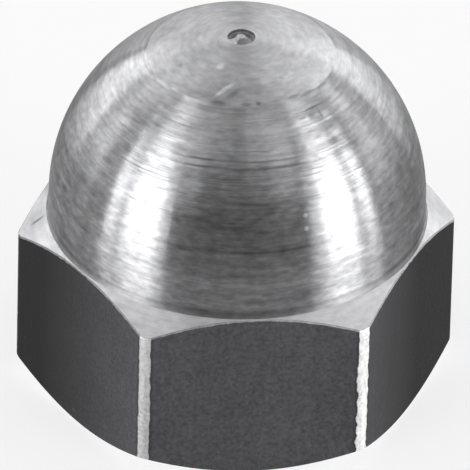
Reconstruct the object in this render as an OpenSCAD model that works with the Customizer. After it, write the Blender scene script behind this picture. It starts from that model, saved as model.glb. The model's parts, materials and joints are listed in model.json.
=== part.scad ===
// Domed cap nut, turned in one piece from drawn hexagon bar.
// A blind tapped hole goes up from the bearing face and ends under the closed dome.
// The bearing face lies on z = 0, the axis of the thread is Z, and the dome points up.

/* [Hexagon] */
// Width across the flats, where the spanner grips
across_flats = 24; // [20:0.5:32]
// Height at which the top chamfer meets the neck
hex_h = 11.8; // [9:0.1:15]
// Width of the narrow rounded band along each upright corner of the bar
corner_band = 0.8; // [0.3:0.05:1]
// Radius of that band's arc, a little more than its width
corner_r = 1; // [1:0.05:3]
// How far the bearing face stops short of the flats
bearing_setback = 0.3; // [0.1:0.1:1.5]
// Slope of the top chamfer below level, in degrees
top_chamfer_angle = 34; // [20:1:40]
// Slope of the bottom chamfer above level, in degrees
bottom_chamfer_angle = 35; // [20:1:40]

/* [Dome] */
// How far the neck stands in from the flats
neck_setback = 0.2; // [0.15:0.05:1.5]
// Length of the straight neck between the chamfer and the dome
neck_h = 1.2; // [0.5:0.1:4]
// Radius of the cove at the foot of the neck
cove_r = 0.3; // [0.1:0.05:0.4]
// How far beyond the axis the dome's arc has its centre
dome_overreach = 0.4; // [0.1:0.05:1.5]
// Diameter of the flatter crown on top of the dome
crown_d = 11.7; // [6:0.1:16]
// How much the crown's radius exceeds that of the dome's arc
crown_flattening = 1.7; // [0.2:0.1:6]

/* [Parting pip] */
// Diameter of the nub left standing at the centre of the crown
pip_d = 0.86; // [0.5:0.02:1.6]
// Width of the round groove turned about the nub
pip_groove_w = 0.44; // [0.3:0.02:0.8]

/* [Tapped hole] */
// Major diameter of the thread
thread_d = 16; // [10:0.5:18]
// Pitch of the thread
thread_pitch = 2; // [1:0.25:2.5]
// Depth of the hole at its full diameter
hole_depth = 16; // [10:0.5:18]
// Point angle of the drill that made the hole, in degrees
drill_point_angle = 118; // [100:1:140]
// How much wider than the thread the countersunk mouth is
countersink_allowance = 1; // [0.5:0.1:2]
// Full angle of the countersink, in degrees
countersink_angle = 120; // [90:5:120]

/* [Hidden] */
$fn = 96;

// Room left around shapes that only trim others
spare = 2;

// The hexagon of the bar, and the bands that round its corners
flat_r = across_flats / 2;
corner_reach = flat_r / cos(30);
band_edge_x = corner_reach - (corner_band / 2) / tan(60);
band_centre_x = band_edge_x - sqrt(corner_r ^ 2 - (corner_band / 2) ^ 2);

// The turned circles that bound the two chamfers
bearing_r = flat_r - bearing_setback;
neck_r = flat_r - neck_setback;

// The cove touches the upright neck and the sloping chamfer
cove_rise = cove_r / tan((90 + top_chamfer_angle) / 2);
cove_centre = [neck_r + cove_r, hex_h + cove_rise];

// The dome's arc springs upright from the neck, and the crown's arc crosses it at crown_d
dome_foot_z = hex_h + neck_h;
dome_r = neck_r + dome_overreach;
crown_r = dome_r + crown_flattening;
crown_edge_r = crown_d / 2;
crown_edge_z = dome_foot_z + sqrt(dome_r ^ 2 - (crown_edge_r + dome_overreach) ^ 2);
crown_centre_z = crown_edge_z - sqrt(crown_r ^ 2 - crown_edge_r ^ 2);
top_z = crown_centre_z + crown_r;

// The hole as drilled, before the tap cuts its thread
drill_r = (thread_d - thread_pitch) / 2;
drill_tip_z = hole_depth + drill_r / tan(drill_point_angle / 2);
countersink_r = (thread_d + countersink_allowance) / 2;
countersink_depth = (countersink_r - drill_r) / tan(countersink_angle / 2);

// What the corner band takes off a sharp corner that points along +X
module corner_waste() {
    difference() {
        translate([band_centre_x + corner_r * cos(30), -spare]) square([spare, 2 * spare]);
        translate([band_centre_x, 0]) circle(r = corner_r);
    }
}

// Section of the drawn bar: a hexagon with two of its corners on the X axis
module bar_section() {
    difference() {
        circle(r = corner_reach, $fn = 6);
        for (turn = [0:60:300])
            rotate(turn) corner_waste();
    }
}

// Half outline of the hexagon's height and the neck, with the two chamfers as sloping rims
module chamfer_profile() {
    rim_r = corner_reach + spare;
    polygon([
        [0, 0],
        [bearing_r, 0],
        [rim_r, (rim_r - bearing_r) * tan(bottom_chamfer_angle)],
        [rim_r, hex_h - (rim_r - neck_r) * tan(top_chamfer_angle)],
        [neck_r, hex_h],
        [neck_r, dome_foot_z],
        [0, dome_foot_z]
    ]);
}

// The metal that rounds the inner corner at the foot of the neck
module cove_profile() {
    difference() {
        polygon([
            [neck_r - cove_r, hex_h - cove_r],
            [neck_r, hex_h] + cove_rise * [cos(top_chamfer_angle), -sin(top_chamfer_angle)],
            cove_centre,
            [neck_r, hex_h + cove_rise],
            [neck_r - cove_r, hex_h + cove_rise]
        ]);
        translate(cove_centre) circle(r = cove_r);
    }
}

// Half outline of the dome and its flatter crown, above the neck
module dome_profile() {
    intersection() {
        translate([-dome_overreach, dome_foot_z]) circle(r = dome_r);
        translate([0, crown_centre_z]) circle(r = crown_r);
        translate([0, dome_foot_z]) square([neck_r + spare, top_z]);
    }
}

// The envelope that the lathe leaves, all round the bar
module turned_envelope() {
    rotate_extrude() {
        chamfer_profile();
        cove_profile();
        dome_profile();
    }
}

// Blind hole: countersink, bore at tapping size and the drill's point
module blind_hole() {
    rotate_extrude()
        polygon([
            [0, -spare],
            [countersink_r + spare * tan(countersink_angle / 2), -spare],
            [drill_r, countersink_depth],
            [drill_r, hole_depth],
            [0, drill_tip_z]
        ]);
}

// Round groove that leaves the parting pip standing
module pip_groove() {
    rotate_extrude() translate([(pip_d + pip_groove_w) / 2, top_z]) circle(d = pip_groove_w);
}

module cap_nut() {
    color([0.64, 0.65, 0.67])
    difference() {
        intersection() {
            linear_extrude(top_z + spare) bar_section();
            turned_envelope();
        }
        blind_hole();
        pip_groove();
    }
}

cap_nut();
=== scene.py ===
# %% [markdown]
# # A cap nut, turned in one piece from drawn hexagon bar
#
# On the bench the real nut starts as a length of hexagon bar. The lathe turns the dome, the two
# chamfers and the bearing face, drills and taps the blind hole, and parts the nut off at the
# crown, where a tiny pip is left. The six flats keep the dark skin of the bar.
#
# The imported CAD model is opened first, as a frame that nothing here moves. It gives the sizes, and
# the finished mesh below takes its place.

# %% Open the frame
import json

import bmesh
import bpy
import numpy as np
from mathutils import Matrix, Vector


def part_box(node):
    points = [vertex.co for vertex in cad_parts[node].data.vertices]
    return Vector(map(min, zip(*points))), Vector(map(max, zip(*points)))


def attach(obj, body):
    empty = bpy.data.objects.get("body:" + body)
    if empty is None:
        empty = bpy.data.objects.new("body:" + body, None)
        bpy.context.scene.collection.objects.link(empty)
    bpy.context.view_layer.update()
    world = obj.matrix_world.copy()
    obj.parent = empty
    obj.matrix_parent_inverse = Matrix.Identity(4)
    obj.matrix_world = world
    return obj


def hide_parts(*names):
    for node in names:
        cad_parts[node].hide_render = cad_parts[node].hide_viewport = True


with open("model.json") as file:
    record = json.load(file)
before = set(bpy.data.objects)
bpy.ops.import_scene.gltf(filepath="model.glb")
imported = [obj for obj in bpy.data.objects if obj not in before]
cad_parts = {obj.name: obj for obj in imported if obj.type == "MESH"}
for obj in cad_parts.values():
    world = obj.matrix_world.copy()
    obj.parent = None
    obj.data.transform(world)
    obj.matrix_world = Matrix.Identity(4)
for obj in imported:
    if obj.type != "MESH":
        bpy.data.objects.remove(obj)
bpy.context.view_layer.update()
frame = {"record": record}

nut_low, nut_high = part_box("cap_nut")
print("the CAD nut reaches from", tuple(nut_low), "to", tuple(nut_high))

# %% [markdown]
# ## Sizes
#
# The width across the flats and the height are measured on the frame, and the bore's radius is
# read from its record. The rest are sizes that a turner would find on the drawing, in millimetres,
# brought to metres by one factor.

# %% The drawing's sizes
MM = 0.001
FLAT_R = nut_high.y
NUT_TOP = nut_high.z
HEX_TOP = 11.8 * MM
BAND_WIDTH = 0.8 * MM
BAND_ARC_R = 1.0 * MM
BEARING_R = FLAT_R - 0.3 * MM
NECK_R = FLAT_R - 0.2 * MM
COVE_R = 0.3 * MM
DOME_FOOT = HEX_TOP + 1.2 * MM
DOME_R = NECK_R + 0.4 * MM
CROWN_EDGE_R = 5.85 * MM
CROWN_R = DOME_R + 1.7 * MM
CREST_BREAK = 0.12 * MM
PIP_R = 0.43 * MM
PIP_TOP_R = 0.58 * PIP_R
PIP_OFFSET = 0.06 * MM
PIP_SIDE = np.radians(129)
TEAR_SIDE = np.radians(214)
TEAR_LEAST = 0.03
GROOVE_R = 0.22 * MM
TOP_SLOPE = np.radians(34)
BOTTOM_SLOPE = np.radians(35)
EDGE_BREAK = 0.07 * MM

thread_mount = next(m for m in frame["record"]["mounts"] if m["name"] == "thread")
BORE_R = thread_mount["dims"]["r_mm"] * MM
PITCH = 2.0 * MM
THREAD_R = 8.0 * MM
MOUTH_R = THREAD_R + 0.5 * MM
HOLE_END = 16.0 * MM
THREAD_HALF_ANGLE = np.radians(30)
DRILL_HALF_POINT = np.radians(59)
MOUTH_HALF_ANGLE = np.radians(60)
print("flats", 2 * FLAT_R, "bore", 2 * BORE_R, "height", NUT_TOP)

# %% [markdown]
# ## The bar's section
#
# Every surface here is a grid: one parameter goes round the axis, the other along the profile.
# The columns of the grid are half planes through the axis. They are set closer together in the
# narrow bands that round the bar's corners, so that a band is never missed, and the first and last
# columns meet at the middle of a flat at the back.

# %% Columns round the axis
SIXTH = np.pi / 3
HALF_SIXTH = SIXTH / 2
BAND_HALF = np.arctan2(BAND_WIDTH / 2, FLAT_R / np.cos(HALF_SIXTH) - BAND_WIDTH / 2 / np.sqrt(3))
BESIDE_BAND = 1.05 * BAND_HALF
ON_FLAT, ON_BAND = 20, 8
around_corner = np.concatenate([
    np.linspace(-HALF_SIXTH, -BESIDE_BAND, ON_FLAT),
    np.linspace(-BAND_HALF, BAND_HALF, ON_BAND + 1),
    np.linspace(BESIDE_BAND, HALF_SIXTH, ON_FLAT)[:-1],
])
corners = np.radians(np.arange(120, 480, 60))
angle = np.append((corners[:, None] + around_corner).ravel(), corners[-1] + HALF_SIXTH)
turn = (angle - angle[0]) / (2 * np.pi)
from_corner = (angle + HALF_SIXTH) % SIXTH - HALF_SIXTH


def bar_radius(offset):
    """How far the bar's skin is from the axis. On a flat it is the flat's distance divided by the
    cosine of the angle from the flat's middle. In a corner band it is where the ray crosses the
    band's arc: c cos(a) + sqrt(r^2 - c^2 sin(a)^2), with c the distance of the arc's centre."""
    on_flat = FLAT_R / np.cos(HALF_SIXTH - np.abs(offset))
    edge_r = FLAT_R / np.cos(HALF_SIXTH - BAND_HALF)
    edge_x, edge_y = edge_r * np.cos(BAND_HALF), edge_r * np.sin(BAND_HALF)
    centre = edge_x - np.sqrt(BAND_ARC_R**2 - edge_y**2)
    chord = BAND_ARC_R**2 - (centre * np.sin(offset)) ** 2
    on_band = centre * np.cos(offset) + np.sqrt(np.maximum(chord, 0))
    return np.where(np.abs(offset) < BAND_HALF, on_band, on_flat)


skin = bar_radius(from_corner)
print(len(angle) - 1, "columns; the corner bands stand", round(skin.max() / MM, 3),
      "mm from the axis")

# %% [markdown]
# ## Drawing the profile
#
# In the half plane of a column a point has two numbers, its distance from the axis and its height.
# Written as one complex number, r + z i, a whole row of points is one array, and lines, arcs and
# eased edges are each one short formula. Edges that the lathe leaves are never perfectly sharp:
# each is a small curve, and that is what catches the light.

# %% Lines, arcs and eased edges
EASED_ROWS = 5
ROWS = {"drill cone": 9, "face": 8, "low chamfer": 8, "flats": 16, "chamfer": 9, "cove": 7,
        "neck": 5, "dome": 80, "crown": 30, "groove": 15, "pip": 6}


def line(start, end, rows):
    """start + t (end - start). With a even from 0 to 1, t = (1 - cos(pi a)) / 2, so that the rows
    crowd together at the two ends and the shading of a flat side stays flat up to its edges."""
    t = (1 - np.cos(np.pi * np.linspace(0, 1, rows)[:, None])) / 2
    return start + t * (end - start)


def arc(centre, radius, first, last, rows):
    """centre + radius e^(i a), with the angle a going evenly from first to last."""
    return centre + radius * np.exp(1j * np.linspace(first, last, rows))[:, None] + 0 * skin


def eased(before, corner, after, reach=EDGE_BREAK):
    """The curve (1-t)^2 p + 2t(1-t) corner + t^2 q. The points p and q lie on the two sides, at the
    given reach from the corner or at 0.4 of the side where that is shorter."""
    back, ahead = before - corner, after - corner
    p = corner + back * np.minimum(reach / np.abs(back), 0.4)
    q = corner + ahead * np.minimum(reach / np.abs(ahead), 0.4)
    t = np.linspace(0, 1, EASED_ROWS)[:, None]
    return (1 - t) ** 2 * p + 2 * t * (1 - t) * corner + t**2 * q


def along(points):
    """Distance walked down the rows of a sheet, from its last row back to its first."""
    steps = np.abs(np.diff(points, axis=0))
    walked = np.cumsum(steps[::-1], axis=0)[::-1]
    return np.vstack([walked, 0 * skin])


# %% [markdown]
# ## Dome, neck and top chamfer
#
# The dome is nearly a half ball: its arc springs upright from a short neck, with its centre just
# past the axis. A flatter crown is turned on top of it, and the two arcs meet at a faint edge. The
# parting tool leaves a pip in the middle of the crown, inside a tiny round groove. The chamfer is
# a cone, and where it cuts the flats of the hexagon the edge is a row of hyperbolas.

# %% Profile of the turned top
CROWN_EDGE_Z = DOME_FOOT + np.sqrt(DOME_R**2 - (CROWN_EDGE_R + DOME_R - NECK_R) ** 2)
CROWN_CENTRE_Z = CROWN_EDGE_Z - np.sqrt(CROWN_R**2 - CROWN_EDGE_R**2)


def crown_height(radius):
    """Height of the crown's ball above the bearing face, at a distance from the axis."""
    return CROWN_CENTRE_Z + np.sqrt(CROWN_R**2 - radius**2)


def smooth(value, low, high):
    """3 t^2 - 2 t^3, with t going from 0 at low to 1 at high."""
    t = np.clip((value - low) / (high - low), 0, 1)
    return 3 * t**2 - 2 * t**3


def pip_radius():
    """The pip's broken top is narrower than its foot and stands to one side of the axis: its
    radius is a mean plus an offset times the cosine of the angle from that side."""
    return PIP_TOP_R + PIP_OFFSET * np.cos(angle - PIP_SIDE)


def groove_depth():
    """The parting tool's groove runs out where the pip tore: it has its full depth beyond 40
    degrees from the tear, and from there the depth falls smoothly to almost nothing at 14."""
    from_tear = np.abs((angle - TEAR_SIDE + np.pi) % (2 * np.pi) - np.pi)
    whole = smooth(from_tear, np.radians(14), np.radians(40))
    return GROOVE_R * (TEAR_LEAST + (1 - TEAR_LEAST) * whole)


def parting_groove(rows):
    """Between the groove's outer radius and the pip's, the height dips by the depth times
    sin(a) (1 + 0.6 cos(a)), with a from 0 to pi: a steep outer wall and a gentle one to the pip."""
    a = np.linspace(0, np.pi, rows)[:, None]
    outer = PIP_R + 2 * GROOVE_R
    radius = (outer + pip_radius()) / 2 + (outer - pip_radius()) / 2 * np.cos(a)
    dip = np.sin(a) * (1 + 0.6 * np.cos(a))
    return radius + 1j * (crown_height(radius) - groove_depth() * dip)


def pip(rows):
    """The stub that broke off: the crown's height from its rim to the axis."""
    radius = pip_radius() * np.linspace(1, 0, rows)[:, None]
    return radius + 1j * crown_height(radius)


def top_profile():
    """Rows from the edge between flat and chamfer up to the pole of the dome."""
    chamfer_edge = skin + 1j * (HEX_TOP - (skin - NECK_R) * np.tan(TOP_SLOPE))
    cove_rise = COVE_R / np.tan((np.pi / 2 + TOP_SLOPE) / 2)
    cove_centre = NECK_R + COVE_R + 1j * (HEX_TOP + cove_rise)
    cove = arc(cove_centre, COVE_R, -np.pi / 2 - TOP_SLOPE, -np.pi, ROWS["cove"])
    flat_below = skin + 0j
    edge = eased(flat_below, chamfer_edge, cove[0])
    ball_centre = NECK_R - DOME_R + 1j * DOME_FOOT
    crown_centre = 1j * CROWN_CENTRE_Z
    dome_end = np.angle(CROWN_EDGE_R + 1j * CROWN_EDGE_Z - ball_centre)
    crown_start = np.angle(CROWN_EDGE_R + 1j * CROWN_EDGE_Z - crown_centre)
    groove = parting_groove(ROWS["groove"])
    crown_end = np.angle(groove[0, 0] - crown_centre)
    dome = arc(ball_centre, DOME_R, 0, dome_end, ROWS["dome"])
    crown = arc(crown_centre, CROWN_R, crown_start, crown_end, ROWS["crown"])
    crest = eased(dome[-2], dome[-1], crown[1], CREST_BREAK)
    middle = EASED_ROWS // 2
    chamfer = line(edge[-1], cove[0], ROWS["chamfer"])
    neck = line(cove[-1], dome[0], ROWS["neck"])
    ball = np.vstack([cove, neck[1:-1], dome[:-1], crest[:middle + 1]])
    cap = np.vstack([crest[middle:], crown[1:-1], groove[:1]])
    return edge, chamfer, ball, cap, groove, pip(ROWS["pip"])


chamfer_break, chamfer, ball, cap, groove, stub = top_profile()
stub_walk = along(stub)
groove_walk = along(groove) + stub_walk[0]
cap_walk = along(cap) + groove_walk[0].mean()
ball_walk = along(ball) + cap_walk[0]
chamfer_walk = along(chamfer) + ball_walk[0]
print("dome top at", round(cap.imag.max() / MM, 3), "mm; from the pip's middle to the foot of",
      "the cove", round(ball_walk[0, 0] / MM, 2), "mm along the profile")

# %% [markdown]
# ## Flats, bottom chamfer and bearing face
#
# The flats stand between the two chamfers. The lower cone is cut by the lathe in the same way as
# the upper one, and inside it the bearing face is flat, out to the countersunk mouth of the hole.

# %% Profile of the flats and the face
bearing_edge = BEARING_R + 0j * skin
low_edge = skin + 1j * (skin - BEARING_R) * np.tan(BOTTOM_SLOPE)
mouth_edge = MOUTH_R + 0j * skin
face_break = eased(mouth_edge, bearing_edge, low_edge)
low_break = eased(bearing_edge, low_edge, chamfer_break[0])
face = np.vstack([line(mouth_edge, face_break[0], ROWS["face"])[:-1], face_break])
low_chamfer = line(face_break[-1], low_break[0], ROWS["low chamfer"])
upright = line(low_break[-1], chamfer_break[0], ROWS["flats"])
flats = np.vstack([low_break, upright[1:-1], chamfer_break])
print("flats:", len(flats), "rows; face:", len(face), "rows")

# %% [markdown]
# ## The tapped hole
#
# The thread is modelled as metal. The rows of the grid climb by one pitch in one turn, so they
# follow the thread, and row s ends at the last column where the row one pitch higher begins. Each
# point then asks how far it is from the middle of the groove. The groove has flanks at 60 degrees
# and a narrow flat bottom. The tap has a tapered nose, so the last turns get shallower and run out,
# and at the mouth the countersink cuts the first turn away.

# %% Thread, hole end and drill point
THREAD_DEPTH = THREAD_R - BORE_R
ROOT_HALF = PITCH / 16
RUN_OUT = 4.5 * MM
NOSE_SHORT = 0.5 * MM
PHASES = np.array([0, 1, 2.6, 4.1, 5.62, 7.2, 8.8, 10.38, 11.9, 13.4, 15]) / 16


def thread_wall():
    """Height: the row's start plus one pitch a turn, held between the face and the hole's end. A
    row starts at one of the phases, in shares of a pitch. Depth of cut: full in the groove's
    middle, then falling by 1 / tan 30 along the axis, held above zero and under the tap's tapered
    nose, which stops short of the hole's end. Radius: the bore plus the cut, or the countersink's
    cone where that is wider."""
    turns_of_row = np.arange(round(HOLE_END / PITCH), -2, -1)
    starts = np.sort((turns_of_row[:, None] + PHASES).ravel())[::-1] * PITCH
    starts = starts[(starts <= HOLE_END) & (starts >= -PITCH)]
    height = np.clip(starts[:, None] + PITCH * turn, 0, HOLE_END)
    phase = (height / PITCH - turn + 0.5) % 1 - 0.5
    beyond = np.abs(phase) * PITCH - ROOT_HALF
    groove = np.clip(THREAD_DEPTH - beyond / np.tan(THREAD_HALF_ANGLE), 0, THREAD_DEPTH)
    nose = THREAD_DEPTH * (HOLE_END - NOSE_SHORT - height) / RUN_OUT
    cut = np.minimum(groove, np.clip(nose, 0, THREAD_DEPTH))
    cone = MOUTH_R - height * np.tan(MOUTH_HALF_ANGLE)
    return np.maximum(BORE_R + cut, cone) + 1j * height


wall = thread_wall()
drill_tip = 1j * (HOLE_END + BORE_R / np.tan(DRILL_HALF_POINT))
hole_end = BORE_R + 1j * HOLE_END + 0 * skin
drill_cone = line(drill_tip + 0 * skin, hole_end, ROWS["drill cone"])
print("thread:", len(wall), "rows; drill tip at", round(drill_tip.imag / MM, 2), "mm")

# %% [markdown]
# ## One closed skin
#
# The sheets are put together into one mesh. Each has its own place in the map of the surface: U is
# the turn round the axis, and V is the distance along the profile in millimetres, so a ring that
# the tool cut is a line of equal V. Neighbouring sheets share the points of a row, and merging
# those points, the two ends of each row and the poles makes the skin closed.

# %% Build the nut
MERGE_WITHIN = 0.0002 * MM
SHARP_ANGLE = np.radians(28)
CROWN, TURNED, FACED, SKIN, TAPPED, TORN = range(6)


def sheet(points, distance, finish, first):
    """Corners, faces, map and finish of one grid. Its faces turn to the outside, because the rows
    run from the drill's tip down the hole and up the outside, while the columns go round to the
    left."""
    rows, columns = points.shape
    place = np.stack([points.real * np.cos(angle), points.real * np.sin(angle), points.imag], -1)
    number = first + np.arange(rows * columns).reshape(rows, columns)
    faces = np.stack([number[:-1, :-1], number[:-1, 1:], number[1:, 1:], number[1:, :-1]], -1)
    chart = np.stack([np.broadcast_to(turn, points.shape), distance / MM], -1)
    kind = np.broadcast_to(finish, faces.shape[:2])
    return place.reshape(-1, 3), faces.reshape(-1, 4), chart.reshape(-1, 2), kind.ravel()


def close(mesh):
    """Merges points that share a place and drops the faces that this leaves without an area."""
    shape = bmesh.new()
    shape.from_mesh(mesh)
    bmesh.ops.remove_doubles(shape, verts=shape.verts, dist=MERGE_WITHIN)
    bmesh.ops.dissolve_degenerate(shape, edges=shape.edges, dist=MERGE_WITHIN)
    open_edges = sum(not edge.is_manifold for edge in shape.edges)
    print(mesh.name, "has", len(shape.faces), "faces, open or doubled edges:", open_edges,
          "volume", round(shape.calc_volume(signed=True) / MM**3, 1), "mm3")
    shape.to_mesh(mesh)
    shape.free()


def make_nut(sheets):
    """Joins the sheets and writes the mesh, its map and the finish of each face."""
    places, faces, charts, finishes, first = [], [], [], [], 0
    for points, distance, finish in sheets:
        place, face, chart, kind = sheet(points, distance, finish, first)
        places.append(place)
        faces.append(face)
        charts.append(chart)
        finishes.append(kind)
        first += len(place)
    faces = np.concatenate(faces)
    mesh = bpy.data.meshes.new("cap_nut_body")
    mesh.from_pydata(np.concatenate(places), [], faces)
    chart = np.concatenate(charts)[faces.ravel()]
    mesh.uv_layers.new(name="turning").uv.foreach_set("vector", chart.ravel())
    mesh.polygons.foreach_set("material_index", np.concatenate(finishes))
    close(mesh)
    mesh.shade_smooth()
    mesh.set_sharp_from_angle(angle=SHARP_ANGLE)
    nut = bpy.data.objects.new("cap_nut_body", mesh)
    bpy.context.scene.collection.objects.link(nut)
    return nut


def out_and_up(points):
    """V for the sheets below the top chamfer, which have no rings to be placed by it: the distance
    from the axis plus the height, since that changes along each of them."""
    return points.real + points.imag


torn_columns = groove_depth()[:-1] > 0.4 * GROOVE_R
nut = make_nut([
    (drill_cone, out_and_up(drill_cone), TAPPED),
    (wall, out_and_up(wall), TAPPED),
    (face, out_and_up(face), FACED),
    (low_chamfer, out_and_up(low_chamfer), FACED),
    (flats, out_and_up(flats), SKIN),
    (chamfer, chamfer_walk, FACED),
    (ball, ball_walk, TURNED),
    (cap, cap_walk, CROWN),
    (groove, groove_walk, np.where(torn_columns, TORN, CROWN)),
    (stub, stub_walk, CROWN),
])
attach(nut, "root")
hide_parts("cap_nut")

# %% [markdown]
# ## A helper for materials
#
# A material is a small graph of nodes. One function adds any node, sets its choices and fills its
# inputs, with a value or with another node's output. The steps that come back often, such as a sum
# or a change of range, are each a short call. Colours are written as hex, the way a colour picker
# gives them, and one function turns them to the linear values that the renderer works in.

# %% Nodes and colours
def add_node(material, kind, inputs=None, **choices):
    """Adds a node to the material. An input's value is a number, a colour or another socket."""
    node = material.node_tree.nodes.new(kind)
    for name, value in choices.items():
        setattr(node, name, value)
    for name, value in (inputs or {}).items():
        if isinstance(value, bpy.types.NodeSocket):
            material.node_tree.links.new(value, node.inputs[name])
        else:
            node.inputs[name].default_value = value
    return node


def linear(code):
    """sRGB hex to linear: below 0.04045 it is c / 12.92, above it ((c + 0.055) / 1.055)^2.4."""
    c = np.array([int(code[i:i + 2], 16) for i in (1, 3, 5)]) / 255
    value = np.where(c <= 0.04045, c / 12.92, ((c + 0.055) / 1.055) ** 2.4)
    return (*value, 1.0)


def new_material(name):
    """An empty node material with only its output."""
    material = bpy.data.materials.new(name)
    material.use_nodes = True
    material.node_tree.nodes.clear()
    add_node(material, "ShaderNodeOutputMaterial")
    return material


def finish_with(material, shader):
    """Links a shader node to the material's output."""
    output = material.node_tree.nodes["Material Output"]
    material.node_tree.links.new(shader.outputs[0], output.inputs["Surface"])


def product(material, *factors):
    """The factors multiplied together."""
    total = factors[0]
    for factor in factors[1:]:
        total = add_node(material, "ShaderNodeMath", {0: total, 1: factor},
                         operation="MULTIPLY").outputs[0]
    return total


def total_of(material, *parts):
    """The parts added together."""
    total = parts[0]
    for part in parts[1:]:
        total = add_node(material, "ShaderNodeMath", {0: total, 1: part},
                         operation="ADD").outputs[0]
    return total


def around_one(material, pattern, amount):
    """A factor: 1 plus the pattern times the amount."""
    return total_of(material, 1.0, product(material, pattern, amount))


def size_of(material, value):
    """The value without its sign."""
    return add_node(material, "ShaderNodeMath", {0: value}, operation="ABSOLUTE").outputs[0]


SMOOTH = {"interpolation_type": "SMOOTHSTEP"}


def remap(material, value, low, high, at_low, at_high, **choices):
    """at_low up to low and at_high from high on, with a straight run between the two, or an S
    shaped one where the choice is SMOOTH."""
    return add_node(material, "ShaderNodeMapRange", {
        "Value": value, "From Min": low, "From Max": high, "To Min": at_low, "To Max": at_high,
    }, **choices).outputs[0]


def axes_of(material, vector):
    """The X, Y and Z of a vector."""
    return add_node(material, "ShaderNodeSeparateXYZ", {0: vector}).outputs


def map_place(material):
    """U as X and V as Y, from the nut's own map."""
    chart = add_node(material, "ShaderNodeUVMap", uv_map="turning")
    return axes_of(material, chart.outputs["UV"])


def place_in_mm(material):
    """Where a point is on the nut, in mm."""
    position = add_node(material, "ShaderNodeTexCoord")
    return add_node(material, "ShaderNodeVectorMath",
                    {0: position.outputs["Object"], "Scale": 1 / MM},
                    operation="SCALE").outputs[0]


def shade(material, colour, amount):
    """The colour, in linear values, times the amount."""
    return add_node(material, "ShaderNodeVectorMath",
                    {0: linear(colour)[:3], "Scale": amount}, operation="SCALE").outputs[0]


def relief(material, depth, height):
    """The surface's direction after a bump. The depth of a height of 1 is in mm."""
    return add_node(material, "ShaderNodeBump", {
        "Strength": 1.0, "Distance": depth * MM, "Height": height,
    }).outputs[0]


# %% [markdown]
# ## Turned steel
#
# The dome was turned to shape on the lathe in a few passes, so it carries rings: fine feed lines,
# broader ones where the tool paused, and a change of tone where one pass ends and the next begins.
# Between the rings the metal is slightly torn, which shows as mottling, most of all where the pass
# tone is darkest. Grooves that run round the axis spread the light along the profile, which is why
# a lathe-turned ball shows long upright streaks. The anisotropic setting does that, turned a quarter
# so that it works across the grooves. The patterns could be painted on the map, but its columns
# shrink towards the pole, so they are noise read in mm, at a place whose third number is the
# distance along the profile.

# %% Rings and mottling
CREST = cap_walk[0, 0] / MM
NECK_FOOT = ball_walk[0, 0] / MM
COVE_TOP = NECK_FOOT - COVE_R * (np.pi / 2 - TOP_SLOPE) / MM
DOME_RIM = COVE_TOP - abs(ball[ROWS["cove"] - 1, 0] - NECK_R - 1j * DOME_FOOT) / MM
print("distance from the pip in mm: crest", round(CREST, 2), "dome's rim", round(DOME_RIM, 2),
      "cove", round(COVE_TOP, 2), "to", round(NECK_FOOT, 2))


def turned_place(material):
    """Where a point is on the turned skin, in mm: X, Y and the distance along the profile."""
    position = add_node(material, "ShaderNodeTexCoord")
    third = add_node(material, "ShaderNodeCombineXYZ", {"Z": map_place(material)["Y"]})
    return add_node(material, "ShaderNodeVectorMath",
                    {0: position.outputs["Object"], 1: (1 / MM, 1 / MM, 0), 2: third.outputs[0]},
                    operation="MULTIPLY_ADD").outputs[0]


NOISE_MIDDLE = 0.3, 0.7


def rings(material, place, across, round_about, low=-1.0, high=1.0, detail=2.0):
    """Noise stretched into rings. Its two sizes, across the rings and round the axis, are in mm.
    The middle of its range is spread from low to high."""
    scaled = add_node(material, "ShaderNodeVectorMath",
                      {0: place, 1: (1 / round_about, 1 / round_about, 1 / across)},
                      operation="MULTIPLY")
    noise = add_node(material, "ShaderNodeTexNoise",
                     {"Vector": scaled.outputs[0], "Scale": 1.0, "Detail": detail})
    return remap(material, noise.outputs["Fac"], *NOISE_MIDDLE, low, high, clamp=False)


def passes_along(material, place, passes):
    """Tone, roughness and depth of cut by distance along the profile. Each pass is a distance in
    mm and the three numbers, from 0 to 1, and they run evenly from each pass to the next. A colour
    ramp carries them, as its red, green and blue."""
    first, last = passes[0][0], passes[-1][0]
    share = remap(material, axes_of(material, place)["Z"], first, last, 0.0, 1.0)
    ramp = add_node(material, "ShaderNodeValToRGB", {0: share})
    stops = ramp.color_ramp.elements
    while len(stops) < len(passes):
        stops.new(1.0)
    for stop, (distance, *finish) in zip(stops, passes):
        stop.position = (distance - first) / (last - first)
        stop.color = (*finish, 1.0)
    return add_node(material, "ShaderNodeSeparateColor", {0: ramp.outputs["Color"]}).outputs


DEEPEST_SIDE = 0.484  # in turns round the axis, on the map's U
DEEP_WITHIN, SHALLOW_FROM = 20 / 360, 32 / 360  # in turns from that side
SHALLOW_SHARE = 0.22


def scored_ring(material, place, at, half_width, strength):
    """0 away from a ring at a distance along the profile, rising to the strength on it. The ring
    wavers by a few hundredths of a mm and is broken in places, as a tool's score is. It is deep
    within 20 degrees of its deepest side and nearly gone 32 degrees from it, where the turned
    ball ran a little out of true."""
    waver = rings(material, place, 2.0, 2.5, -0.06, 0.06)
    broken = rings(material, place, 1.0, 2.2, 0.4 * strength, strength)
    off = size_of(material, total_of(material, axes_of(material, place)["Z"], waver, -at))
    near = remap(material, off, 0.0, half_width, 1.0, 0.0, **SMOOTH)
    beside = size_of(material, total_of(material, map_place(material)["X"], -DEEPEST_SIDE))
    deep_side = remap(material, beside, DEEP_WITHIN, SHALLOW_FROM, 1.0, SHALLOW_SHARE)
    return product(material, near, broken, deep_side)
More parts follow.
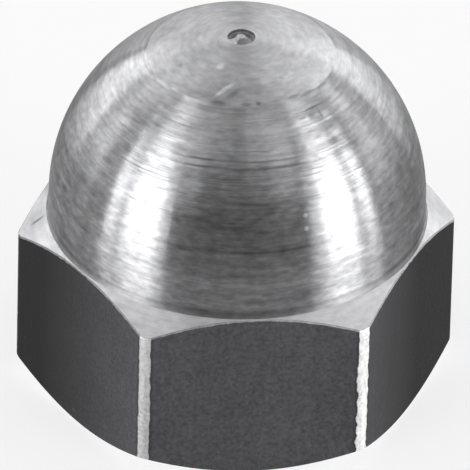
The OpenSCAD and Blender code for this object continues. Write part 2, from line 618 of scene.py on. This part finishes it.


# %% [markdown]
# ## Nicks and specks
#
# A nut that has been in a box with others has a few small marks: a raised nick on the crown, bright
# specks, a stain. Some marks are painted light and shade: the nick is painted lighter as a
# highlight with a painted shadow beside it, the edge where the crown meets the dome has a painted
# highlight on the left and broken dark lines of painted shade in front and to the right, and broad
# patches of painted shade lie on the front of the crown and on the chamfer at left and right. Each
# is a soft ellipse. A Mapping node moves its centre to the origin, turns it and divides by its half
# sizes, so that the ellipse becomes a ball of radius 1, and the length of the vector says how far
# in a point is.

# %% A mark on the skin
MARK_CORE, MARK_RIM = 0.3, 1.15  # full strength inside the first, none outside the second


def marks_on(material, marks):
    """Sums the marks' changes of tone and of height. A mark is its centre, half length and half
    width in mm, its heading in degrees, its change of tone as a share, and its lift as a share of
    the bump's depth."""
    place = place_in_mm(material)
    tones, lifts = [0.0], [0.0]
    for centre, half_length, half_width, heading, tone, lift in marks:
        turned = add_node(material, "ShaderNodeMapping", {
            "Vector": place, "Location": centre, "Rotation": (0, 0, np.radians(heading)),
            "Scale": (half_length, half_width, half_length),
        }, vector_type="TEXTURE")
        far = add_node(material, "ShaderNodeVectorMath", {0: turned.outputs[0]},
                       operation="LENGTH")
        inside = remap(material, far.outputs["Value"], MARK_CORE, MARK_RIM, 1.0, 0.0, **SMOOTH)
        tones.append(product(material, inside, tone))
        if lift:
            lifts.append(product(material, inside, lift))
    return total_of(material, *tones), total_of(material, *lifts)


# painted light and shade along the crown's edge: the first three are a painted highlight on the
# left, the rest painted shade in front and to the right
crest_light_and_shade = [
    ((-5.80, -1.83, 23.33), 0.60, 0.13, -72, 0.26, 0),
    ((-5.16, -2.90, 23.43), 0.90, 0.13, -61, 0.32, 0),
    ((-4.43, -3.80, 23.48), 0.60, 0.12, -49, 0.24, 0),
    ((-1.90, -5.42, 23.53), 0.62, 0.22, -19, -0.38, 0),
    ((-0.22, -5.72, 23.53), 0.50, 0.17, -2, -0.38, 0),
    ((0.53, -5.66, 23.55), 0.20, 0.17, 5, -0.40, 0),
    ((2.77, -5.01, 23.53), 0.65, 0.16, 29, -0.36, 0),
    ((3.69, -4.54, 23.48), 0.75, 0.15, 39, -0.36, 0),
    ((4.64, -3.74, 23.41), 0.70, 0.14, 51, -0.34, 0),
]
crown_marks = crest_light_and_shade + [
    # the raised nick, also painted lighter as a highlight, and after it its painted shadow
    ((-1.45, -4.55, 23.91), 0.95, 0.17, 32, 0.60, 2.4),
    ((-1.02, -4.95, 23.82), 0.75, 0.24, 30, -0.28, 0),
    ((-1.56, -2.71, 24.41), 0.30, 0.30, 0, 0.42, 0),
    ((2.14, -3.70, 24.09), 0.22, 0.18, 0, -0.18, 0),
    ((2.75, -3.20, 24.10), 0.30, 0.28, 0, 0.16, 0),
    ((-3.96, -1.91, 24.05), 0.22, 0.22, 0, -0.22, 0),
    # a broad faint patch of painted shade on the front of the crown
    ((0.40, -4.60, 23.92), 1.10, 0.50, 0, -0.08, 0),
]
dome_marks = crest_light_and_shade + [
    ((3.86, -5.43, 22.95), 0.80, 0.09, 35, -0.36, 0),
    ((3.00, -5.93, 22.96), 0.45, 0.09, 27, -0.30, 0),
    ((3.81, -5.96, 22.64), 0.34, 0.17, 33, -0.38, 0),
    ((3.23, -6.22, 22.69), 0.34, 0.11, 27, -0.30, 0),
    ((4.41, -5.61, 22.60), 0.34, 0.13, -50, -0.32, 0),
    ((3.12, -10.19, 18.16), 0.19, 0.19, 0, 1.1, 0),
    ((3.17, -10.51, 17.40), 0.19, 0.19, 0, 1.1, 0),
]
chamfer_marks_and_shade = [
    ((-12.50, 0.22, 11.33), 0.60, 0.17, 12, -0.42, 0),
    # painted shade: the next two are broad soft patches that darken the chamfer at the left and
    # right
    ((-12.90, 0.30, 11.00), 2.4, 2.2, 0, -0.24, 0),
    ((12.90, -0.60, 11.00), 2.4, 2.2, 0, -0.14, 0),
]
skin_marks = [
    ((-10.60, -5.64, 0.90), 0.14, 0.14, 0, 1.3, 0),
    ((-13.31, -0.94, 3.24), 0.14, 0.14, 0, 1.3, 0),
]
print(len(crown_marks + dome_marks + chamfer_marks_and_shade + skin_marks) - len(crest_light_and_shade), "marks")

# %% [markdown]
# ## Finishing a turned surface
#
# The crown, the dome, the chamfers and the tapped hole are the same steel and differ in how rough
# the cut is. The tone of the metal is its colour times the tone of the pass, times the rings and
# the mottling. The same noises, added up, make the height for the bump, so that a dark ring is also
# a dip. Feed lines of a few hundredths of a mm would be lost in the render, so the finest ones are
# drawn 0.13 to 0.22 mm apart. A film of oil dulls the steel where it is seen edge on, which the
# specular tint of a metal gives.

# %% One finish for every cut
EDGE_TINT = linear("#bcbcbc")
QUARTER_TURN = 0.25
ROUGH_SPREAD = 0.012
FEED_ACROSS, DASH_ACROSS, BAND_ACROSS, CLOUD_ACROSS = 0.13, 0.22, 0.65, 1.3
FEED_ROUND, DASH_ROUND, BAND_ROUND, CLOUD_ROUND = 5.0, 1.1, 9.0, 3.0
# the pass darkness is DARKNESS_LIMIT minus the pass tone, and that tone is partly painted shade
MOTTLE_LENGTH = 1.7  # times its size across
DARKNESS_LIMIT = 1.3  # the dullness is this minus the tone of the pass


def turned_steel(name, colour, anisotropy, depth, passes, ring_tone=0.16, mottle_tone=0.14,
                 mottle_size=0.35, scores=(), marks=()):
    """A cut steel surface. The depth of its bump and the size of its mottling are in mm, and
    ring_tone and mottle_tone are the shares by which rings and mottling change the tone."""
    material = new_material(name)
    place = turned_place(material)
    tone, roughness, cut = passes_along(material, place, passes)
    feed = rings(material, place, FEED_ACROSS, FEED_ROUND)
    dash = rings(material, place, DASH_ACROSS, DASH_ROUND)
    band = rings(material, place, BAND_ACROSS, BAND_ROUND, detail=3.0)
    torn = rings(material, place, mottle_size, MOTTLE_LENGTH * mottle_size, detail=2.5)
    cloud = rings(material, place, CLOUD_ACROSS, CLOUD_ROUND)
    pass_darkness = total_of(material, DARKNESS_LIMIT, product(material, tone, -1.0))
    scored = total_of(material, 0.0, *[scored_ring(material, place, *ring) for ring in scores])
    marked, lifted = marks_on(material, marks)
    tones = [tone, total_of(material, 1.0, marked),
             around_one(material, feed, ring_tone / 4),
             around_one(material, dash, 0.8 * ring_tone),
             around_one(material, band, ring_tone),
             total_of(material, 1.0, product(material, torn, mottle_tone, pass_darkness)),
             around_one(material, cloud, 0.3 * mottle_tone),
             around_one(material, scored, -1.0)]
    rough = total_of(material, roughness, product(material, band, ROUGH_SPREAD),
                     product(material, torn, ROUGH_SPREAD))
    height = total_of(material, product(material, feed, cut), product(material, band, 0.25),
                      product(material, torn, 0.04), product(material, scored, -0.5), lifted)
    tangent = add_node(material, "ShaderNodeTangent", direction_type="UV_MAP", uv_map="turning")
    shader = add_node(material, "ShaderNodeBsdfPrincipled", {
        "Base Color": shade(material, colour, product(material, *tones)),
        "Metallic": 1.0, "Roughness": rough,
        "Anisotropic": anisotropy, "Anisotropic Rotation": QUARTER_TURN,
        "Specular Tint": EDGE_TINT, "Tangent": tangent.outputs[0],
        "Normal": relief(material, depth, height),
    })
    finish_with(material, shader)
    return material


# %% [markdown]
# ## The dome and its crown
#
# The dome was turned in passes, and its tone changes where one pass meets the next. On top of that
# the tone is painted darker from pass to pass on the way down, as painted shade on the lower dome.
# Two deep scores lie a third of the way down and two shallow ones below them. The neck is a little
# lighter again and ends in a narrow dark line of painted shade just above the cove, and the cove at
# its foot is nearly as light as the chamfer. A pass is written by its distance from the crown's
# edge, in degrees of the dome's arc. The crown was finished with a finer tool, so its grain has
# hardly any direction.

# %% Dome, neck and crown
DOME_DEGREES = 59.2
DOME_ARC = (DOME_RIM - CREST) / DOME_DEGREES
# the tones fall partly with the passes and partly as painted shade on the lower dome
dome_passes_and_shade = [
    (CREST, 0.80, 0.33, 0.12), (CREST + 6 * DOME_ARC, 0.72, 0.32, 0.20),
    (CREST + 11 * DOME_ARC, 0.67, 0.32, 0.20), (CREST + 16.5 * DOME_ARC, 0.62, 0.32, 0.16),
    (CREST + 20 * DOME_ARC, 0.54, 0.31, 0.16), (CREST + 27 * DOME_ARC, 0.47, 0.31, 0.18),
    (CREST + 30 * DOME_ARC, 0.45, 0.31, 0.20), (CREST + 31.5 * DOME_ARC, 0.385, 0.31, 0.20),
    (CREST + 35 * DOME_ARC, 0.345, 0.31, 0.18), (CREST + 37 * DOME_ARC, 0.31, 0.31, 0.15),
    (CREST + 47 * DOME_ARC, 0.305, 0.32, 0.15), (CREST + 51 * DOME_ARC, 0.305, 0.34, 0.15),
    (CREST + 53 * DOME_ARC, 0.345, 0.36, 0.18), (COVE_TOP - 0.32, 0.345, 0.37, 0.20),
    # the rows of tone 0.26 and 0.28 are a narrow line of painted shade just above the cove
    (COVE_TOP - 0.22, 0.26, 0.38, 0.10), (COVE_TOP - 0.06, 0.28, 0.38, 0.10),
    (COVE_TOP + 0.03, 0.40, 0.55, 0.10), (NECK_FOOT, 0.62, 0.55, 0.10),
]
dome_scores = [
    (CREST + 17.0 * DOME_ARC, 0.15, 0.62), (CREST + 19.2 * DOME_ARC, 0.15, 0.66),
    (CREST + 29.3 * DOME_ARC, 0.22, 0.30), (CREST + 43.5 * DOME_ARC, 0.20, 0.34),
]
dome_steel = turned_steel("turned_steel", "#ccccce", 1.0, 0.022, dome_passes_and_shade,
                          ring_tone=0.18, mottle_tone=0.21, mottle_size=0.36,
                          scores=dome_scores, marks=dome_marks)
crown_passes = [(0.0, 1.0, 0.40, 0.05), (CREST, 0.84, 0.40, 0.05)]
crown_steel = turned_steel("crown_steel", "#d2d2d4", 0.6, 0.006, crown_passes,
                           ring_tone=0.02, mottle_tone=0.34, mottle_size=0.4,
                           marks=crown_marks)

# %% [markdown]
# ## Faced steel
#
# The chamfers and the bearing face were cut last with a form tool and left bright, with a fine
# grain and almost no rings. A wide soft highlight is what the eye gets from that. Two broad patches
# of painted shade darken the top chamfer at the left and right.

# %% Material of the chamfers and the face
faced_pass = [(0.0, 1.0, 0.48, 0.25), (1.0, 1.0, 0.48, 0.25)]
faced_steel = turned_steel("faced_steel", "#c6c6c8", 0.6, 0.008, faced_pass,
                           ring_tone=0.05, mottle_tone=0.27, marks=chamfer_marks_and_shade)

# %% [markdown]
# ## Skin of the drawn bar
#
# The flats keep the dark oxide and lubricant skin of cold drawing, with faint upright lines from
# the die. It is a dull dark coat, so it isn't metallic and shines only a little. At the bar's
# corners the skin has rubbed off and the steel shows, up to a ragged edge that stays close to the
# corner band. The band towards +X is the more ragged one, and the bare steel is painted lighter
# towards +X, a painted highlight on that side. The two corners on the X axis have kept most of
# their skin, and the flats are painted darker towards them, more so towards +X, as painted shade. A
# thin strip along the top of each flat, below the chamfer's cone, is partly painted as bare steel,
# a painted highlight along that edge. The distance from a corner is read off the map, where each
# corner is a sixth of a turn on.

# %% Material of the flats
BAND_SIDES = -7.0, 7.0  # X of the two front corners, in mm
KEEPS_SKIN = 9.0, 13.0  # either side: where less and less skin is rubbed off, in mm along X
RUBBED_TO, SKIN_FROM, LIP_END = 0.34, 0.42, 0.62  # from a corner, in mm
# a painted highlight: a thin strip of bare steel along the top of each flat
RIM_FULL, RIM_END = 0.04, 0.12  # below the chamfer's cone, in mm
RIM_SHARE = 0.40
# painted shade: the flats get darker towards the corners on the X axis
SHADE_SPAN = 6.7, 11.7  # either side: where a flat gets darker, in mm along X
LOPSIDED = 0.7  # it does so this much sooner towards +X and later towards -X, in mm
SHADE_TONE = 0.10


def rim_highlight_strip(material, place):
    """How much of a thin strip along the top of a flat is painted as bare steel, a painted highlight
    along that edge. The chamfer's cone is at height HEX_TOP - (r - NECK_R) tan(TOP_SLOPE), and what
    counts is how far a point is below that."""
    level = add_node(material, "ShaderNodeVectorMath", {0: place, 1: (1, 1, 0)},
                     operation="MULTIPLY")
    outward = add_node(material, "ShaderNodeVectorMath", {0: level.outputs[0]},
                       operation="LENGTH").outputs["Value"]
    under_edge = total_of(material, (HEX_TOP + NECK_R * np.tan(TOP_SLOPE)) / MM,
                          product(material, outward, -np.tan(TOP_SLOPE)),
                          product(material, axes_of(material, place)["Z"], -1.0),
                          rings(material, place, 0.5, 0.5, -0.035, 0.035))
    return remap(material, under_edge, RIM_FULL, RIM_END, RIM_SHARE, 0.0, **SMOOTH)


def bar_skin_material():
    """Dark skin with painted shade towards the sides, and bare steel where it is rubbed off at the
    corners, painted lighter towards +X as a highlight, and along the top of each flat as a painted
    highlight.
    """
    material = new_material("drawn_bar_skin")
    place = place_in_mm(material)
    across_x = axes_of(material, place)["X"]
    side = size_of(material, across_x)
    grain = rings(material, place, 0.22, 0.22)
    drawn = rings(material, place, 7.0, 0.35, detail=3.0)
    cloud = rings(material, place, 4.0, 4.0)
    sixths = product(material, map_place(material)["X"], 6.0)
    sixth = add_node(material, "ShaderNodeMath", {0: sixths}, operation="FRACT")
    off_corner = size_of(material, total_of(material, sixth.outputs[0], -0.5))
    from_corner_mm = product(material, off_corner, SIXTH * skin.max() / MM)
    raggedness = remap(material, across_x, *BAND_SIDES, 0.045, 0.085)
    ragged = product(material, rings(material, place, 0.6, 0.6, detail=4.0), raggedness)
    less_worn = remap(material, side, *KEEPS_SKIN, 0.0, 0.30)
    edge = total_of(material, from_corner_mm, ragged, less_worn)
    rubbed_and_rim_highlight = remap(material, edge, RUBBED_TO, SKIN_FROM, 1.0, 0.0, **SMOOTH)
    lip = remap(material, edge, SKIN_FROM, LIP_END, 0.60, 1.0, **SMOOTH)
    # the strip along the top of each flat, taken in here, is a painted highlight
    rubbed_and_rim_highlight = add_node(material, "ShaderNodeMath", {0: rubbed_and_rim_highlight, 1: rim_highlight_strip(material, place)},
                      operation="MAXIMUM").outputs[0]
    shifted = size_of(material, total_of(material, across_x, LOPSIDED))
    # painted shade, darker towards the corners on the X axis
    side_shade = remap(material, shifted, *SHADE_SPAN, 1.0, SHADE_TONE)
    marked, _ = marks_on(material, skin_marks)
    tone = product(material, lip, side_shade, total_of(material, 1.0, marked),
                   around_one(material, grain, 0.28), around_one(material, drawn, 0.05),
                   around_one(material, cloud, 0.10))
    # painted highlight: the bare steel lighter towards +X
    lit_side_tone = remap(material, across_x, *BAND_SIDES, 0.43, 0.70)
    wear_and_highlight = product(material, lit_side_tone, total_of(material, 1.0, product(material, grain, 0.18),
                                                 product(material, drawn, 0.10)))
    base = add_node(material, "ShaderNodeMix", {
        "Factor": rubbed_and_rim_highlight, "A": shade(material, "#373739", tone),
        "B": shade(material, "#e6e6e6", wear_and_highlight),
    }, data_type="VECTOR")
    rough = total_of(material, 0.70, product(material, rubbed_and_rim_highlight, -0.15),
                     product(material, grain, 0.05))
    height = total_of(material, product(material, grain, 0.3), product(material, drawn, 0.1),
                      product(material, rubbed_and_rim_highlight, -1.0))
    shader = add_node(material, "ShaderNodeBsdfPrincipled", {
        "Base Color": base.outputs[1], "Metallic": product(material, rubbed_and_rim_highlight, 0.75),
        "Roughness": rough, "Specular IOR Level": 0.15,
        "Normal": relief(material, 0.015, height),
    })
    finish_with(material, shader)
    return material


bar_skin = bar_skin_material()

# %% [markdown]
# ## Tapped steel
#
# The tap leaves the thread darker than the turned faces, with oil in its roots and a grain that
# runs along the thread.

# %% Material of the hole
tapped_pass = [(0.0, 1.0, 0.35, 0.25), (1.0, 1.0, 0.35, 0.25)]
tapped_steel = turned_steel("tapped_steel", "#8c8c8e", 0.3, 0.004, tapped_pass,
                            ring_tone=0.06, mottle_tone=0.20)

# %% [markdown]
# ## Torn steel, with painted shade in the groove
#
# Round the pip the parting tool tore the last of the metal instead of cutting it. The groove's
# bottom is dull, with no direction to its shine, so its anisotropy is nought. Its colour is darker
# than the crown's, partly for the torn metal and partly as painted shade in the groove.

# %% Material of the parting groove
torn_pass = [(0.0, 1.0, 0.55, 0.25), (1.0, 1.0, 0.55, 0.25)]
torn_shaded_steel = turned_steel("torn_shaded_steel", "#a0a0a2", 0.0, 0.010, torn_pass, mottle_tone=0.6,
                          mottle_size=0.15)

for material in (crown_steel, dome_steel, faced_steel, bar_skin, tapped_steel, torn_shaded_steel):
    nut.data.materials.append(material)
print(len(nut.data.materials), "materials, in the order of the finishes")

# %% [markdown]
# ## Floor
#
# A plain pale disc. Rays from the camera, mirror rays and rays through glass see it nearly white,
# by a share of white light, and the rest of it is matt paint that keeps the nut's shadow. The
# object itself gets no more light from that.

# %% Floor
FLOOR_R = 2.0
FLOOR_SIDES = 96
WHITE_SHARE = 0.72


def disc(name, radius):
    """A flat round sheet at height 0, with as many sides as FLOOR_SIDES says."""
    a = np.linspace(0, 2 * np.pi, FLOOR_SIDES, endpoint=False)
    rim = np.stack([radius * np.cos(a), radius * np.sin(a), 0 * a], -1)
    mesh = bpy.data.meshes.new(name)
    mesh.from_pydata(rim, [], [list(range(FLOOR_SIDES))])
    floor = bpy.data.objects.new(name, mesh)
    bpy.context.scene.collection.objects.link(floor)
    return floor


floor = disc("floor", FLOOR_R)
floor_paint = new_material("pale_floor")
paint = add_node(floor_paint, "ShaderNodeBsdfDiffuse", {"Color": linear("#f2f2f2")})
white = add_node(floor_paint, "ShaderNodeEmission", {"Color": linear("#ffffff"), "Strength": 1.0})
rays = add_node(floor_paint, "ShaderNodeLightPath").outputs
seen = total_of(floor_paint, rays["Is Camera Ray"], rays["Is Glossy Ray"],
                rays["Is Transmission Ray"])
finish_with(floor_paint, add_node(floor_paint, "ShaderNodeMixShader", {
    0: product(floor_paint, seen, WHITE_SHARE), 1: paint.outputs[0], 2: white.outputs[0],
}))
floor.data.materials.append(floor_paint)

# %% [markdown]
# ## Light
#
# Turned steel shows what is round it, so the light is a ring of softboxes, each a flat rectangle
# that faces the nut. The two large low ones, to the left and right of the camera, make the two
# white streaks on the dome, and the narrow ones beside them make the thinner streaks. The dark gap
# between them, behind the camera, is the dark valley in the middle. The rows above and behind are
# faint, and give the crown, the shoulders and the rims their greys. A picture of a studio would do
# the same, but lamps are plain numbers that anyone can move.

# %% Lamps
CAMERA_HEADING = -96.38
LAMP_DISTANCE = 300 * MM


def towards(heading, elevation):
    """The direction from the nut, as a vector of length 1, from two angles in degrees."""
    a, e = np.radians(heading), np.radians(elevation)
    return Vector((np.cos(a) * np.cos(e), np.sin(a) * np.cos(e), np.sin(e)))


def softbox(name, from_camera, elevation, wide, high, radiance):
    """A flat rectangular lamp that faces the nut. Its place is an angle round the axis from the
    camera and an elevation; wide and high are the angles that it fills, all in degrees."""
    away = towards(CAMERA_HEADING + from_camera, elevation)
    data = bpy.data.lights.new(name, "AREA")
    data.shape = "RECTANGLE"
    data.size = (2 * LAMP_DISTANCE * np.tan(np.radians(wide / 2))
                 * np.cos(np.radians(elevation)))
    data.size_y = 2 * LAMP_DISTANCE * np.tan(np.radians(high / 2))
    data.energy = radiance * np.pi * data.size * data.size_y
    lamp = bpy.data.objects.new(name, data)
    lamp.location = away * LAMP_DISTANCE + Vector((0, 0, HEX_TOP))
    lamp.rotation_euler = away.to_track_quat("Z", "Y").to_euler()
    lamp.visible_camera = False
    bpy.context.scene.collection.objects.link(lamp)


# each row: elevation, height and its lamps, and each lamp: angle from the camera, width, radiance
lamp_rows = {
    "low": (2.6, 9, [
        (-97, 8, 2.4), (-86.8, 12, 4.4), (-77, 7, 31), (-71.8, 3.5, 14), (-68, 4, 29),
        (-56.2, 19.5, 48), (-43.3, 6, 20), (48.8, 8.5, 17), (63.4, 20.8, 49), (76.7, 5.5, 12),
        (83.5, 8, 31), (93, 11, 4.0),
    ]),
    "flank": (16, 14, [(-104, 16, 1.6), (104, 16, 1.8)]),
    "side": (10, 20, [
        (-165, 26, 1.3), (-135, 26, 3.7), (-112, 26, 2.1),
        (112, 26, 1.7), (141, 26, 3.0), (165, 26, 1.8),
    ]),
    "back": (30, 18, [
        (-150, 25, 1.4), (-125, 25, 0.6), (125, 25, 0.3), (150, 25, 1.9), (180, 25, 1.2),
    ]),
    "shoulder": (45, 14, [
        (-130, 20, 1.5), (-112, 20, 1.9), (-40, 20, 3.7), (40, 20, 3.5), (130, 20, 3.3),
    ]),
    "high": (60, 15, [
        (-160, 26, 1.3), (-130, 26, 1.0), (-80, 26, 1.5), (-25, 26, 2.2), (0, 26, 1.6),
        (25, 26, 2.8), (50, 26, 0.5), (80, 26, 1.4), (130, 26, 1.0), (160, 26, 1.6),
    ]),
    "overhead": (78, 18, [(180, 55, 0.5)]),
}
for row, (elevation, high, boxes) in lamp_rows.items():
    for from_camera, wide, radiance in boxes:
        softbox(f"{row}_{from_camera:.0f}", from_camera, elevation, wide, high, radiance)
print(sum(len(boxes) for _, _, boxes in lamp_rows.values()), "lamps")

world = bpy.data.worlds.new("studio")
bpy.context.scene.world = world
world.use_nodes = True
world.node_tree.nodes["Background"].inputs["Color"].default_value = linear("#303030")
world.node_tree.nodes["Background"].inputs["Strength"].default_value = 1.0

# %% [markdown]
# ## Camera
#
# A long lens from well back, a third of the way up, so that the dome, the chamfer and three flats
# are seen at once with little perspective.

# %% Camera
CAMERA_ELEVATION = 34.68
CAMERA_ROLL = 1.467
CAMERA_DISTANCE = 832.8 * MM
CAMERA_LENS = 1018.6
CAMERA_AIM = Vector((-0.083, 0, 9.8)) * MM
away = towards(CAMERA_HEADING, CAMERA_ELEVATION)
camera = bpy.data.objects.new("camera", bpy.data.cameras.new("camera"))
camera.data.sensor_width = 36
camera.data.lens = CAMERA_LENS
camera.data.clip_start, camera.data.clip_end = 0.01, 20
camera.location = CAMERA_AIM + away * CAMERA_DISTANCE
level = away.to_track_quat("Z", "Y").to_matrix()
camera.rotation_euler = (level @ Matrix.Rotation(np.radians(CAMERA_ROLL), 3, "Z")).to_euler()
bpy.context.scene.collection.objects.link(camera)
bpy.context.scene.camera = camera
bpy.context.scene.view_settings.view_transform = "Standard"
print("camera at", tuple(round(v, 4) for v in camera.location), "m")
